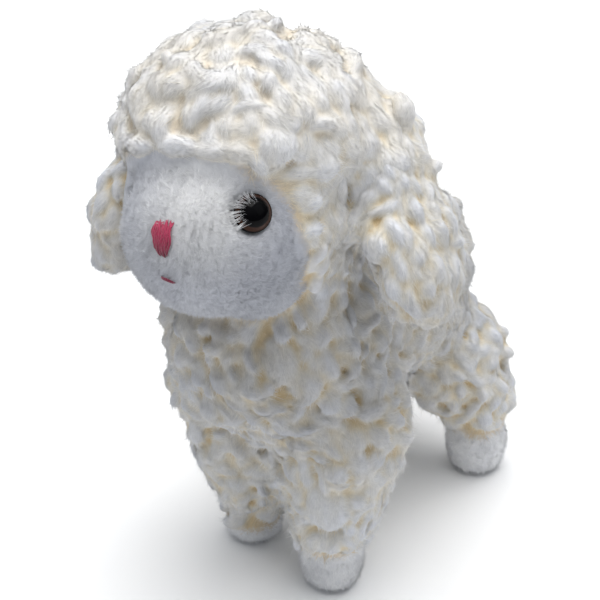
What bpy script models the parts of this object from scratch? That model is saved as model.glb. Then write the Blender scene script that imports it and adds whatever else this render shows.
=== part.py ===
"""Standing plush lamb: a stuffed toy of curly fleece, with a face and feet of short pile.

Run with: blender --background --python part.py

The lamb faces -Y, stands on the floor at Z = 0 and is built in metres. The fleece solids
reach out to the tips of the curls; the face and feet reach to the top of their short pile.
One fleece form is modelled whole and then parted by thin cuts into trunk, neck, head,
legs and tail, so that neighbours meet face to face across a gap of GAP.
"""

import math

import bmesh
import bpy
from mathutils import Matrix, Vector

MM = 0.001
GAP = 0.4 * MM

# Stance: where each sole's middle meets the floor, before the lamb is centred.
FEET = {
    "front_left": Vector((24.5, -47.5, 0)) * MM,
    "front_right": Vector((-16.5, -44.0, 0)) * MM,
    "rear_left": Vector((31.0, 43.5, 0)) * MM,
    "rear_right": Vector((-27.0, 45.5, 0)) * MM,
}
FOOT_RADIUS = 14.0 * MM
FOOT_ANKLE_RADIUS = 13.2 * MM  # where the fleece is sewn on
FOOT_HEIGHT = 21.0 * MM
FOOT_WIDEST = 15.0 * MM  # height of the fullest place
FOOT_LOW_RADIUS = 12.9 * MM
FOOT_LOW = 6.0 * MM  # height where the side turns in to the sole
SOLE_RADIUS = 9.0 * MM
FOOT_EDGE_STEPS = 4
FOOT_SIDES = 20

# Legs, out to the curl tips.
CUFF_RADIUS = {"front": 20.0 * MM, "rear": 17.5 * MM}
CUFF_HEIGHT = 32.0 * MM
HIP = {
    "front": Vector((26.0, -41.0, 73.0)) * MM,
    "rear": Vector((18.5, 38.0, 56.0)) * MM,
}
HIP_RADIUS = {"front": 27.5 * MM, "rear": 26.0 * MM}

# Trunk and neck.
TRUNK_CENTRE = Vector((0, 2, 95)) * MM
TRUNK_RADII = Vector((39.5, 61, 37)) * MM
CHEST_CENTRE = Vector((0, -45, 107)) * MM
CHEST_RADII = Vector((44, 41, 47.5)) * MM
NAPE_CENTRE = Vector((0, -50, 150)) * MM
NAPE_RADII = Vector((36, 36, 32)) * MM
TAIL_ROOT = Vector((0, 62, 104)) * MM
TAIL_TIP = Vector((0, 71, 76)) * MM
TAIL_RADIUS = 9.5 * MM

# The head is modelled level and straight, then turned about this point on the neck.
HEAD_PIVOT = Vector((0, -45.7, 142.8)) * MM
HEAD_YAW = math.radians(9.7)  # towards the lamb's left
HEAD_PITCH = math.radians(15.9)  # nose up
HEAD_ROLL = math.radians(-5.5)
CAP_CENTRE = Vector((0, -60.2, 182.8)) * MM
CAP_RADII = Vector((45.5, 49.5, 38.0)) * MM
JOWL_CENTRE = Vector((0, -62, 158)) * MM
JOWL_RADII = Vector((39, 31, 29)) * MM
RUFF_FRONT = Vector((0, -91, 156)) * MM  # the ring of fleece that frames the face
RUFF_DEPTH = 32.0 * MM
RUFF_RADIUS = 37.0 * MM
RUFF_SPREAD = 1.12  # its back is this much wider than its front
RUFF_FLATNESS = 0.9  # height as a share of width
FACE_CENTRE = Vector((0, -85.3, 155.9)) * MM
FACE_RADIUS = 31.4 * MM
CHEEK_OFFSET = Vector((9, 6, -8)) * MM
CHEEK_RADIUS = 25.0 * MM
MUZZLE_OFFSET = Vector((0, -11, -5)) * MM
MUZZLE_RADIUS = 21.5 * MM

# Ears: a narrow root on the side of the head and a broad lobe that hangs from it.
EAR_CENTRE = Vector((49.8, -47.4, 159.4)) * MM
EAR_RADII = Vector((13.5, 26.0, 42.5)) * MM
EAR_FLARE = math.radians(20.4)
EAR_TURN = math.radians(-5.2)
EAR_ROOT_WIDTH = 0.78  # the root's width as a share of the lobe's
EAR_ROOT_THICKNESS = 0.9
EAR_ROOT_LENGTH = 0.6  # as a share of the whole ear
EAR_LOBE_LENGTH = 0.74

# Plastic eyes, and the sewn nose and mouth, by their direction and distance from the
# face's centre. Side 1 is the lamb's left; the eyes are set a little unevenly.
EYE_RADIUS = 6.2 * MM
EYE_DEPTH = 4.6 * MM
EYE_SEAT = 29.0 * MM
EYE_YAW = {1: math.radians(52.5), -1: math.radians(61)}
EYE_ELEVATION = {1: math.radians(18.5), -1: math.radians(17)}
STITCH_DEPTH = 4.0 * MM
STITCH_EDGE = 0.3  # the rounding of a stitched patch, as a share of its height
NOSE_WIDTH = 7.2 * MM
NOSE_HEIGHT = 11.5 * MM
NOSE_TAPER = 0.7  # the foot's width as a share of the top's
NOSE_SEAT = 30.0 * MM
NOSE_YAW = math.radians(3)
NOSE_ELEVATION = math.radians(3.5)
MOUTH_WIDTH = 5.0 * MM
MOUTH_HEIGHT = 2.0 * MM
MOUTH_SEAT = 29.6 * MM
MOUTH_YAW = math.radians(2)
MOUTH_ELEVATION = math.radians(-19)

# Curls on the fleece, and how finely each form is meshed.
CURL_SIZE = 13.0 * MM
CURL_HEIGHT = 4.5 * MM
CURL_LEVEL = 0.42  # the share of a curl's height that lies inside the mean surface
VOXEL = 3.0 * MM
FACE_VOXEL = 2.0 * MM
SMOOTHING = 6
FLEECE_TRIANGLES = 3750
EAR_TRIANGLES = 440
FACE_TRIANGLES = 560
LARGE_SIDES = 32
LIMB_SIDES = 24
EYE_SIDES = 16
SHARP = math.radians(50)

# Where the seams part the fleece. A lean tips a seam's upper side back or forward.
HEAD_SEAM = Vector((0, -48, 150)) * MM
HEAD_SEAM_LEAN = -0.1
NECK_SEAM = Vector((0, -46, 130)) * MM
NECK_SEAM_LEAN = -0.45
TAIL_SEAM = Vector((0, 66.5, 90)) * MM
LEG_TOP = 57.0 * MM
LEG_REACH = 120.0 * MM

# Colour, roughness and metallic value of each finish, and the pieces that it goes on.
COLOURS = {
    "fleece": ((0.78, 0.72, 0.60), 0.95, 0.0),
    "short_pile": ((0.80, 0.80, 0.80), 0.95, 0.0),
    "eye_black": ((0.006, 0.006, 0.007), 0.08, 0.0),
    "pink_thread": ((0.45, 0.02, 0.07), 0.55, 0.0),
}
FINISH_OF = {
    "face": "short_pile",
    "foot": "short_pile",
    "eye": "eye_black",
    "nose": "pink_thread",
    "mouth": "pink_thread",
}


def clear_scene():
    for obj in list(bpy.data.objects):
        bpy.data.objects.remove(obj)


def new_collection(name):
    collection = bpy.data.collections.new(name)
    bpy.context.scene.collection.children.link(collection)
    return collection


def new_material(name):
    colour, roughness, metallic = COLOURS[name]
    material = bpy.data.materials.new(name)
    material.use_nodes = True
    shader = material.node_tree.nodes["Principled BSDF"]
    shader.inputs["Base Color"].default_value = (*colour, 1)
    shader.inputs["Roughness"].default_value = roughness
    shader.inputs["Metallic"].default_value = metallic
    material.diffuse_color = (*colour, 1)
    return material


def new_object(name, mesh, collection):
    obj = bpy.data.objects.new(name, mesh)
    collection.objects.link(obj)
    return obj


def from_bmesh(name, bm, collection):
    mesh = bpy.data.meshes.new(name)
    bm.to_mesh(mesh)
    bm.free()
    return new_object(name, mesh, collection)


def baked(obj, name, collection):
    """A plain mesh object of obj as its modifiers leave it. obj goes."""
    bpy.context.view_layer.update()
    graph = bpy.context.evaluated_depsgraph_get()
    mesh = bpy.data.meshes.new_from_object(obj.evaluated_get(graph))
    mesh.transform(obj.matrix_world)
    bpy.data.objects.remove(obj)
    return new_object(name, mesh, collection)


def head_turn():
    turn = (
        Matrix.Rotation(HEAD_YAW, 4, "Z")
        @ Matrix.Rotation(-HEAD_PITCH, 4, "X")
        @ Matrix.Rotation(HEAD_ROLL, 4, "Y")
    )
    return Matrix.Translation(HEAD_PIVOT) @ turn @ Matrix.Translation(-HEAD_PIVOT)


def placed(centre, radii=Vector((1, 1, 1)), turn=None):
    """The matrix that makes a unit shape of these radii, turned, at centre."""
    turn = turn or Matrix.Identity(4)
    return Matrix.Translation(centre) @ turn @ Matrix.Diagonal((*radii, 1))


def add_ball(bm, matrix, segments=LARGE_SIDES):
    bmesh.ops.create_uvsphere(
        bm, u_segments=segments, v_segments=segments // 2, radius=1, matrix=matrix
    )


def add_limb(bm, start, end, start_radius, end_radius):
    """A tapered tube with round ends."""
    for centre, radius in ((start, start_radius), (end, end_radius)):
        add_ball(bm, placed(centre, Vector((radius,) * 3)), LIMB_SIDES)
    along = end - start
    turn = along.to_track_quat("Z", "Y").to_matrix().to_4x4()
    bmesh.ops.create_cone(
        bm,
        cap_ends=True,
        segments=LIMB_SIDES,
        radius1=start_radius,
        radius2=end_radius,
        depth=along.length,
        matrix=placed((start + end) / 2, turn=turn),
    )


def add_ruff(bm):
    """A wide, slightly flared band round the head, behind the rim of the face."""
    middle = RUFF_FRONT + Vector((0, RUFF_DEPTH / 2, 0))
    lying = Matrix.Rotation(math.radians(90), 4, "X")
    flat = Matrix.Diagonal((1, 1, RUFF_FLATNESS, 1))
    bmesh.ops.create_cone(
        bm,
        cap_ends=True,
        segments=LARGE_SIDES,
        radius1=RUFF_RADIUS * RUFF_SPREAD,
        radius2=RUFF_RADIUS,
        depth=RUFF_DEPTH,
        matrix=head_turn() @ Matrix.Translation(middle) @ flat @ lying,
    )


def add_modifier(obj, kind, **settings):
    modifier = obj.modifiers.new(kind.title(), kind)
    for key, value in settings.items():
        setattr(modifier, key, value)
    return modifier


def melt(obj, voxel, passes):
    """Joins the shapes in obj into one rounded skin."""
    add_modifier(obj, "REMESH", mode="VOXEL", voxel_size=voxel, use_smooth_shade=True)
    add_modifier(obj, "SMOOTH", factor=0.5, iterations=passes)


def add_curls(obj):
    """Raises rounded curls on the fleece: each cell of the pattern is one curl."""
    pattern = bpy.data.textures.new("curls", "VORONOI")
    pattern.noise_scale = CURL_SIZE
    pattern.distance_metric = "DISTANCE"
    add_modifier(
        obj,
        "DISPLACE",
        texture=pattern,
        texture_coords="GLOBAL",
        strength=-CURL_HEIGHT,
        mid_level=CURL_LEVEL,
    )


def thin_out(obj, triangles, collection):
    """Reduces obj to about this many triangles, keeping its form."""
    name = obj.name
    obj = baked(obj, name + "_full", collection)
    count = sum(len(face.vertices) - 2 for face in obj.data.polygons)
    add_modifier(obj, "DECIMATE", ratio=min(1.0, triangles / count))
    return baked(obj, name, collection)


def swollen(obj, by, collection):
    """A copy of obj grown along its normals, to cut its neighbours with."""
    copy = new_object(obj.name + "_swollen", obj.data.copy(), collection)
    add_modifier(copy, "DISPLACE", strength=by, mid_level=0)
    return baked(copy, obj.name + "_swollen", collection)


def carved(name, source, collection, keep=(), remove=()):
    """A copy of source, inside each shape of keep and outside each of remove."""
    piece = new_object(name, source.data.copy(), collection)
    for operation, shapes in (("INTERSECT", keep), ("DIFFERENCE", remove)):
        for shape in shapes:
            add_modifier(piece, "BOOLEAN", operation=operation, object=shape)
    return baked(piece, name, collection)


def half_space(name, point, normal, collection, size=400 * MM):
    """A large block whose one face passes through point; the block lies along normal."""
    turn = normal.to_track_quat("Z", "Y").to_matrix().to_4x4()
    bm = bmesh.new()
    middle = point + normal.normalized() * size / 2
    bmesh.ops.create_cube(bm, size=size, matrix=placed(middle, turn=turn))
    return from_bmesh(name, bm, collection)


def block(name, low, high, collection):
    bm = bmesh.new()
    size = high - low
    bmesh.ops.create_cube(bm, size=1, matrix=placed((low + high) / 2, size))
    return from_bmesh(name, bm, collection)


def fleece_form(guides):
    """Trunk, neck, head, legs and tail as one curly form."""
    bm = bmesh.new()
    add_ball(bm, placed(TRUNK_CENTRE, TRUNK_RADII))
    add_ball(bm, placed(CHEST_CENTRE, CHEST_RADII))
    add_ball(bm, placed(NAPE_CENTRE, NAPE_RADII))
    add_ball(bm, head_turn() @ placed(CAP_CENTRE, CAP_RADII))
    add_ball(bm, head_turn() @ placed(JOWL_CENTRE, JOWL_RADII))
    add_ruff(bm)
    add_limb(bm, TAIL_ROOT, TAIL_TIP, TAIL_RADIUS, TAIL_RADIUS)
    for leg, foot in FEET.items():
        end = leg.split("_")[0]
        hip = Vector((math.copysign(HIP[end].x, foot.x), HIP[end].y, HIP[end].z))
        cuff = Vector((foot.x, foot.y, CUFF_HEIGHT))
        add_limb(bm, cuff, hip, CUFF_RADIUS[end], HIP_RADIUS[end])
    form = from_bmesh("fleece_form", bm, guides)
    melt(form, VOXEL, SMOOTHING)
    add_curls(form)
    return thin_out(form, FLEECE_TRIANGLES, guides)


def ear_form(side, guides):
    """One ear, narrow at its root and broad where it hangs. side is 1 for the lamb's left."""
    tilt = Matrix.Rotation(side * EAR_TURN, 4, "Z") @ Matrix.Rotation(-side * EAR_FLARE, 4, "Y")
    centre = Vector((side * EAR_CENTRE.x, EAR_CENTRE.y, EAR_CENTRE.z))
    base = head_turn() @ Matrix.Translation(centre) @ tilt
    root = EAR_RADII * Vector((EAR_ROOT_THICKNESS, EAR_ROOT_WIDTH, EAR_ROOT_LENGTH))
    lobe = EAR_RADII * Vector((1, 1, EAR_LOBE_LENGTH))
    bm = bmesh.new()
    add_ball(bm, base @ placed(Vector((0, 0, EAR_RADII.z - root.z)), root))
    add_ball(bm, base @ placed(Vector((0, 0, lobe.z - EAR_RADII.z)), lobe))
    form = from_bmesh("ear_form", bm, guides)
    melt(form, VOXEL, SMOOTHING)
    add_curls(form)
    return thin_out(form, EAR_TRIANGLES, guides)


def face_form(guides):
    """The stuffed face: a ball with full cheeks and a short muzzle."""
    turn = head_turn()
    bm = bmesh.new()
    add_ball(bm, turn @ placed(FACE_CENTRE, Vector((FACE_RADIUS,) * 3)))
    muzzle = FACE_CENTRE + MUZZLE_OFFSET
    add_ball(bm, turn @ placed(muzzle, Vector((MUZZLE_RADIUS,) * 3)))
    for side in (-1, 1):
        cheek = FACE_CENTRE + Vector((side * CHEEK_OFFSET.x, CHEEK_OFFSET.y, CHEEK_OFFSET.z))
        add_ball(bm, turn @ placed(cheek, Vector((CHEEK_RADIUS,) * 3)))
    form = from_bmesh("face_form", bm, guides)
    melt(form, FACE_VOXEL, SMOOTHING)
    return thin_out(form, FACE_TRIANGLES, guides)


def foot(name, sole, collection):
    """A stuffed foot: a flat sole, a rounded edge and straight sides, turned about Z."""
    profile = [
        Vector((0, 0, FOOT_HEIGHT)),
        Vector((FOOT_ANKLE_RADIUS, 0, FOOT_HEIGHT)),
        Vector((FOOT_RADIUS, 0, FOOT_WIDEST)),
    ]
    for step in range(FOOT_EDGE_STEPS + 1):
        angle = math.pi / 2 * step / FOOT_EDGE_STEPS
        out = (FOOT_LOW_RADIUS - SOLE_RADIUS) * math.cos(angle)
        profile.append(Vector((SOLE_RADIUS + out, 0, FOOT_LOW * (1 - math.sin(angle)))))
    profile.append(Vector((0, 0, 0)))
    bm = bmesh.new()
    points = [bm.verts.new(point) for point in profile]
    for start, end in zip(points, points[1:]):
        bm.edges.new((start, end))
    obj = from_bmesh(name, bm, collection)
    add_modifier(
        obj,
        "SCREW",
        steps=FOOT_SIDES,
        render_steps=FOOT_SIDES,
        use_merge_vertices=True,
        merge_threshold=0.0001,
    )
    obj.location = sole
    return baked(obj, name, collection)


def on_face(yaw, elevation, distance):
    """A frame on the straight head, looking out of the face's centre: -Y is outwards."""
    turn = Matrix.Rotation(yaw, 4, "Z") @ Matrix.Rotation(-elevation, 4, "X")
    out = Matrix.Translation((0, -distance, 0))
    return head_turn() @ Matrix.Translation(FACE_CENTRE) @ turn @ out


def eye(side, collection):
    """A plastic button eye: a dome on a short rim, half sunk in the pile."""
    base = on_face(side * EYE_YAW[side], EYE_ELEVATION[side], EYE_SEAT)
    bm = bmesh.new()
    radii = Vector((EYE_RADIUS, EYE_DEPTH, EYE_RADIUS))
    add_ball(bm, base @ placed(Vector(), radii), EYE_SIDES)
    return from_bmesh("eye_seat", bm, collection)


def stitched_pad(name, base, width, height, taper, collection):
    """A raised patch of satin stitch, narrower at its foot by taper."""
    bm = bmesh.new()
    size = Vector((width, 2 * STITCH_DEPTH, height))
    bmesh.ops.create_cube(bm, size=1, matrix=placed(Vector(), size))
    for vert in bm.verts:
        if vert.co.z < 0:
            vert.co.x *= taper
    bmesh.ops.bevel(
        bm,
        geom=bm.edges[:],
        offset=STITCH_EDGE * min(width, height),
        segments=2,
        profile=0.5,
        affect="EDGES",
        material=-1,
    )
    bmesh.ops.transform(bm, matrix=base, verts=bm.verts)
    return from_bmesh(name, bm, collection)


def largest_body(obj):
    """Drops crumbs that a cut has left loose."""
    bm = bmesh.new()
    bm.from_mesh(obj.data)
    islands = []
    left = set(bm.verts)
    while left:
        island = set()
        front = [left.pop()]
        while front:
            vert = front.pop()
            island.add(vert)
            for edge in vert.link_edges:
                other = edge.other_vert(vert)
                if other in left:
                    left.remove(other)
                    front.append(other)
        islands.append(island)
    islands.sort(key=len)
    crumbs = [vert for island in islands[:-1] for vert in island]
    bmesh.ops.delete(bm, geom=crumbs, context="VERTS")
    bmesh.ops.triangulate(bm, faces=bm.faces[:])
    bm.to_mesh(obj.data)
    bm.free()


def finish(obj, material):
    obj.data.materials.clear()
    obj.data.materials.append(material)
    obj.data.shade_smooth()
    obj.data.set_sharp_from_angle(angle=SHARP)


def stand_on_origin(objects):
    """Centres the lamb over the origin, with its soles at Z = 0."""
    corners = [obj.matrix_world @ vert.co for obj in objects for vert in obj.data.vertices]
    low = Vector(min(point[axis] for point in corners) for axis in range(3))
    high = Vector(max(point[axis] for point in corners) for axis in range(3))
    middle = (low + high) / 2
    for obj in objects:
        obj.data.transform(Matrix.Translation((-middle.x, -middle.y, -low.z)))


def main():
    clear_scene()
    parts = new_collection("plush_lamb")
    guides = new_collection("guides")
    guides.hide_render = True

    form = fleece_form(guides)
    face_ball = face_form(guides)
    seats = {side: eye(side, guides) for side in (1, -1)}
    sockets = [swollen(seat, GAP, guides) for seat in seats.values()]
    nose_seat = on_face(NOSE_YAW, NOSE_ELEVATION, NOSE_SEAT)
    nose_pad = stitched_pad("nose_pad", nose_seat, NOSE_WIDTH, NOSE_HEIGHT, NOSE_TAPER, guides)
    mouth_seat = on_face(MOUTH_YAW, MOUTH_ELEVATION, MOUTH_SEAT)
    mouth_pad = stitched_pad("mouth_pad", mouth_seat, MOUTH_WIDTH, MOUTH_HEIGHT, 1, guides)

    face_room = swollen(face_ball, GAP, guides)
    form_room = swollen(form, GAP, guides)

    half = GAP / 2
    neck_up = head_turn().to_3x3() @ Vector((0, HEAD_SEAM_LEAN, 1)).normalized()
    trunk_up = Vector((0, NECK_SEAM_LEAN, 1)).normalized()
    tail_out = Vector((0, 1, 0))
    above_neck = half_space("above_neck", HEAD_SEAM + neck_up * half, neck_up, guides)
    below_head = half_space("below_head", HEAD_SEAM - neck_up * half, -neck_up, guides)
    above_trunk = half_space("above_trunk", NECK_SEAM + trunk_up * half, trunk_up, guides)
    below_neck = half_space("below_neck", NECK_SEAM - trunk_up * half, -trunk_up, guides)
    behind = half_space("behind", TAIL_SEAM + tail_out * half, tail_out, guides)
    before = half_space("before", TAIL_SEAM - tail_out * half, -tail_out, guides)
    up = Vector((0, 0, 1))
    above_legs = half_space("above_legs", Vector((0, 0, LEG_TOP + half)), up, guides)

    pieces = {}
    pieces["head"] = carved("head", form, parts, [above_neck], [face_room])
    pieces["neck"] = carved("neck", form, parts, [below_head, above_trunk], [face_room])
    pieces["trunk"] = carved("trunk", form, parts, [below_neck, before, above_legs], [face_room])
    pieces["tail"] = carved("tail", form, parts, [behind, above_legs])
    pieces["face"] = carved("face", face_ball, parts, [], sockets)
    for side, name in ((1, "left"), (-1, "right")):
        ear = ear_form(side, guides)
        pieces["ear_" + name] = carved("ear_" + name, ear, parts, [], [form_room, face_room])
        pieces["eye_" + name] = carved("eye_" + name, seats[side], parts)
    pieces["nose"] = carved("nose", nose_pad, parts, [], [face_room])
    pieces["mouth"] = carved("mouth", mouth_pad, parts, [], [face_room])
    for leg, sole in FEET.items():
        across = math.copysign(1, sole.x)
        along = math.copysign(1, sole.y)
        inner = Vector((across * half, along * half, FOOT_HEIGHT + GAP))
        outer = Vector((across * LEG_REACH, along * LEG_REACH, LEG_TOP - half))
        low = Vector(map(min, inner, outer))
        high = Vector(map(max, inner, outer))
        region = block("region_" + leg, low, high, guides)
        pieces["leg_" + leg] = carved("leg_" + leg, form, parts, [region])
        pieces["foot_" + leg] = foot("foot_" + leg, sole, parts)

    finishes = {name: new_material(name) for name in COLOURS}
    for name, piece in pieces.items():
        largest_body(piece)
        kind = name.split("_")[0]
        finish(piece, finishes[FINISH_OF.get(kind, "fleece")])
    stand_on_origin(pieces.values())
    for guide in guides.objects:
        guide.hide_render = True
        guide.display_type = "WIRE"


main()
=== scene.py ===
"""Finish of the standing plush lamb: curly fleece, short pile, plastic eyes, sewn nose and mouth."""

import math

import bmesh
import bpy
import numpy as np
from mathutils import Matrix, Quaternion, Vector, noise
from mathutils.bvhtree import BVHTree
from mathutils.kdtree import KDTree


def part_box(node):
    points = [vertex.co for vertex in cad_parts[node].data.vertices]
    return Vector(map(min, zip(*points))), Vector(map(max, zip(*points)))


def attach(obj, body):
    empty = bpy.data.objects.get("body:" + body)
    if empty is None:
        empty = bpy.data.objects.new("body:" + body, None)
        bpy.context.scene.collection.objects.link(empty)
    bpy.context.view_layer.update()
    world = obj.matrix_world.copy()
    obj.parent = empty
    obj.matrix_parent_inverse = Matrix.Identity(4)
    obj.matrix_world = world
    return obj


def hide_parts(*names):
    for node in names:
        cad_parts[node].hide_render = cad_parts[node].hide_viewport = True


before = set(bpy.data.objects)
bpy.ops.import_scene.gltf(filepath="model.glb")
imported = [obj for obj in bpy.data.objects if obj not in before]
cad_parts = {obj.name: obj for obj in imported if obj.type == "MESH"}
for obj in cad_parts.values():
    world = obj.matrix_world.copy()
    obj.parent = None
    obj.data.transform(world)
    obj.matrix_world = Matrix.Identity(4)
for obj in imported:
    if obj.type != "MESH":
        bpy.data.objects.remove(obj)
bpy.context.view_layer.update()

MM = 0.001
SEED = 20
# Without this, Blender seeds its noise vectors by the clock.
noise.seed_set(SEED)

FLEECE_NODES = [
    "trunk", "neck", "head", "tail", "ear_left", "ear_right",
    "leg_front_left", "leg_front_right", "leg_rear_left", "leg_rear_right",
]
PILE_NODES = ["face", "foot_front_left", "foot_front_right", "foot_rear_left", "foot_rear_right"]
NODES = FLEECE_NODES + PILE_NODES
# No foot reaches this high, and the face is above it.
FEET_TOP = 60 * MM

# Depth of the coat over the cloth that it grows from.
FLEECE_DEPTH = 4.0 * MM
PILE_DEPTH = 1.1 * MM
# The solids are swollen by this and remeshed at this size, so that the gaps between them close.
SEAM_CLOSING = 0.6 * MM
SKIN_VOXEL = 2.1 * MM
# How often the cloth's edge of pile, its depth of coat, its normals and its points are evened out.
PILE_PASSES, DEPTH_PASSES, NORMAL_PASSES, CLOTH_PASSES = 2, 4, 12, 6
# The fleece grows in over the near cheek by this, in mm, and down the far fore foot to this height.
CHEEK_GROWTH = 4.5
FAR_HEM = 9.0 * MM

# The head's turn, as in the part's own source.
HEAD_TURN = (
    Matrix.Rotation(math.radians(9.7), 3, "Z")
    @ Matrix.Rotation(math.radians(-15.9), 3, "X")
    @ Matrix.Rotation(math.radians(-5.5), 3, "Y")
)

# Locks: length, width, thickness and the spacing of their roots in mm; how far they stray, where swirl
# turns neighbours together and scatter each alone (radians), and sway bends each one sideways. Half of
# them are an under layer, which lies from the last share of the coat's depth up.
LOCK_TRAITS = ("length", "width", "thick", "spacing", "swirl", "scatter", "sway", "under")
LOCKS = {
    "head": (13.0, 7.0, 2.9, 3.6, 0.9, 0.30, 0.14, 0.62),
    "neck": (12.5, 5.4, 2.7, 3.4, 0.7, 0.25, 0.12, 0.45),
    "ear": (14.0, 5.0, 3.3, 2.7, 0.5, 0.20, 0.13, 0.60),
    "trunk": (11.5, 6.0, 2.7, 3.5, 1.2, 0.40, 0.22, 0.45),
    "tail": (11.0, 5.0, 2.6, 3.4, 0.6, 0.30, 0.15, 0.45),
    "leg": (10.5, 5.5, 2.7, 3.4, 1.0, 0.35, 0.20, 0.45),
}
LOCK_VARIETY = 0.26
# A lock grows only where the skin is still woolly this share of its length past its root.
OVERHANG = 0.62
# The middle of a lock keeps this far from the middle of an eye.
EYE_CLEARANCE = 8.8 * MM
# The cap's locks are brushed to the toy's left.
HEAD_TWIST = 0.55
# Single locks, laid one by one over the rest, all in mm: root, tip, width, thickness and how far they
# stand over the others.
BIG_LOCKS = {
    "head": [
        # The roll along the brow.
        ((-29, -70, 191), (-5, -77, 198), 7.0, 4.5, 0.2),
        ((-10, -77, 198), (9, -76, 201), 7.0, 4.5, 0.3),
        ((5, -77, 201), (19, -71, 202), 7.0, 4.5, 0.2),
        ((13, -73, 202), (23, -68, 200), 7.5, 4.5, 0.3),
        # The cap, with the forelock and the big curls over the eye.
        ((2, -73, 204), (5, -65, 213), 5.5, 4.5, 1.3),
        ((21, -59, 208), (30, -61, 193), 13.0, 4.5, 1.9),
        ((22, -67, 203), (25, -64, 192), 5.5, 3.5, 1.3),
        ((33, -54, 191), (38, -43, 189), 9.0, 4.0, 1.3),
        ((30, -50, 202), (34, -41, 202), 4.5, 3.5, 1.3),
        ((12, -67, 207), (19, -57, 210), 4.0, 3.0, 1.3),
        ((1, -62, 218), (-11, -70, 211), 8.0, 3.5, 1.3),
        ((15, -39, 221), (21, -25, 214), 7.0, 3.5, 1.3),
        ((-14, -61, 216), (-21, -56, 217), 4.5, 4.0, 2.4),
        ((25, -18, 208), (22, -11, 209), 5.0, 4.0, 2.4),
        # The cheek, beside the eye.
        ((36, -47, 173), (39, -49, 165), 4.0, 3.0, 1.3),
        ((34, -57, 178), (35, -50, 180), 6.0, 3.5, 1.3),
        ((35, -59, 170), (36, -52, 171), 5.0, 3.5, 1.3),
        ((35, -54, 156), (37, -51, 164), 5.0, 3.5, 1.3),
    ],
    "ear_left": [
        # The near ear, from its front edge to its back.
        ((38, -38, 189), (39, -38, 171), 5.5, 3.5, 0.9),
        ((41, -29, 183), (47, -30, 177), 4.5, 3.0, 1.2),
        ((47, -31, 171), (57, -37, 166), 5.0, 3.5, 1.2),
        ((44, -37, 168), (51, -38, 155), 9.5, 4.0, 1.4),
        ((32, -31, 131), (35, -34, 122), 4.0, 3.0, 1.2),
        ((59, -8, 153), (67, -21, 143), 6.0, 3.5, 1.2),
        ((44, -25, 182), (50, -23, 176), 4.0, 3.0, 1.2),
        ((48, -24, 176), (55, -25, 165), 5.0, 3.5, 1.2),
        ((53, -25, 168), (60, -24, 158), 5.0, 3.5, 1.2),
        ((53, -22, 174), (57, -14, 164), 6.0, 3.5, 1.2),
        ((56, -24, 166), (59, -15, 159), 4.5, 3.0, 1.2),
        ((56, -32, 163), (60, -32, 155), 7.0, 3.5, 1.2),
        ((55, -38, 162), (59, -39, 153), 4.5, 3.5, 1.2),
        ((62, -32, 154), (66, -31, 145), 5.0, 3.5, 1.2),
        ((61, -16, 154), (60, -7, 152), 4.5, 3.0, 1.2),
        ((43, -13, 187), (41, -8, 194), 5.5, 4.0, 2.6),
        ((49, -9, 173), (47, -1, 174), 4.5, 3.5, 2.2),
        ((40, -13, 187), (37, -9, 197), 9.0, 6.0, 5.0),
    ],
    "neck": [
        # The throat.
        ((19, -58, 124), (24, -59, 108), 13.0, 4.5, 1.3),
        ((32, -48, 120), (26, -52, 96), 6.5, 4.0, 1.3),
        ((34, -44, 123), (36, -45, 109), 6.5, 4.0, 1.3),
        ((31, -44, 131), (32, -47, 120), 7.5, 4.0, 1.3),
    ],
    "trunk": [
        # The chest, the legs and the rump.
        ((44, -20, 87), (38, -38, 88), 8.0, 4.5, 1.3),
        ((35, -46, 106), (34, -43, 92), 9.5, 4.0, 1.3),
        ((10, -55, 82), (32, -47, 88), 4.0, 3.0, 1.3),
        ((33, -44, 62), (32, -46, 39), 15.0, 4.0, 1.3),
        ((33, 39, 57), (33, 41, 47), 4.5, 3.5, 1.3),
        ((38, 44, 56), (38, 48, 44), 4.5, 3.5, 1.3),
        ((39, 59, 63), (37, 68, 53), 5.0, 4.0, 2.6),
        ((-36, -48, 73), (-40, -46, 64), 5.0, 4.0, 2.4),
    ],
}
# How many sides a lock has, and places along its run with its girth there, as shares.
CORE_SIDES = 8
LOCK_RUN = np.array([0.0, 0.16, 0.34, 0.52, 0.69, 0.83, 0.93, 0.985])
LOCK_GIRTH = np.array([0.55, 0.78, 0.92, 1.0, 0.98, 0.86, 0.64, 0.34])

# The fleece's body is the cloth and its locks run together, remeshed at this size and softened.
FELT_VOXEL = 0.78 * MM
FELT_PASSES = 2
FELT_CLOSING = 0.25 * MM

# A ridge is told from a crevice by its height over the surface round it, evened out this often. Its
# "stand" is the level one where both are level, and rises by 1 over the height of the relief.
LEVEL_PASSES = 40
LEVEL_STAND = 0.55
RELIEF = 1.8 * MM

# Fine loose fibres over the fleece, and the short pile.
FIBRES_PER_MM2 = 1.9
FIBRE_WIDTH = 0.28 * MM
PILE_PER_MM2 = 5.0
PILE_WIDTH = 0.27 * MM
PILE_LENGTH = 2.0 * MM
# Size of a wisp's own patch of the unwrap, as a share of the map.
BAKE_PATCH = 0.003


def new_object(name, mesh):
    obj = bpy.data.objects.new(name, mesh)
    bpy.context.scene.collection.objects.link(obj)
    return obj


def baked(obj, name):
    """A plain mesh object of obj as its modifiers leave it. obj goes."""
    bpy.context.view_layer.update()
    graph = bpy.context.evaluated_depsgraph_get()
    mesh = bpy.data.meshes.new_from_object(obj.evaluated_get(graph))
    bpy.data.objects.remove(obj)
    return new_object(name, mesh)


def add_modifier(obj, kind, **settings):
    modifier = obj.modifiers.new(kind.title(), kind)
    for key, value in settings.items():
        setattr(modifier, key, value)
    return modifier


def middle_of(node):
    low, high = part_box(node)
    return (Vector(low) + Vector(high)) / 2


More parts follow.
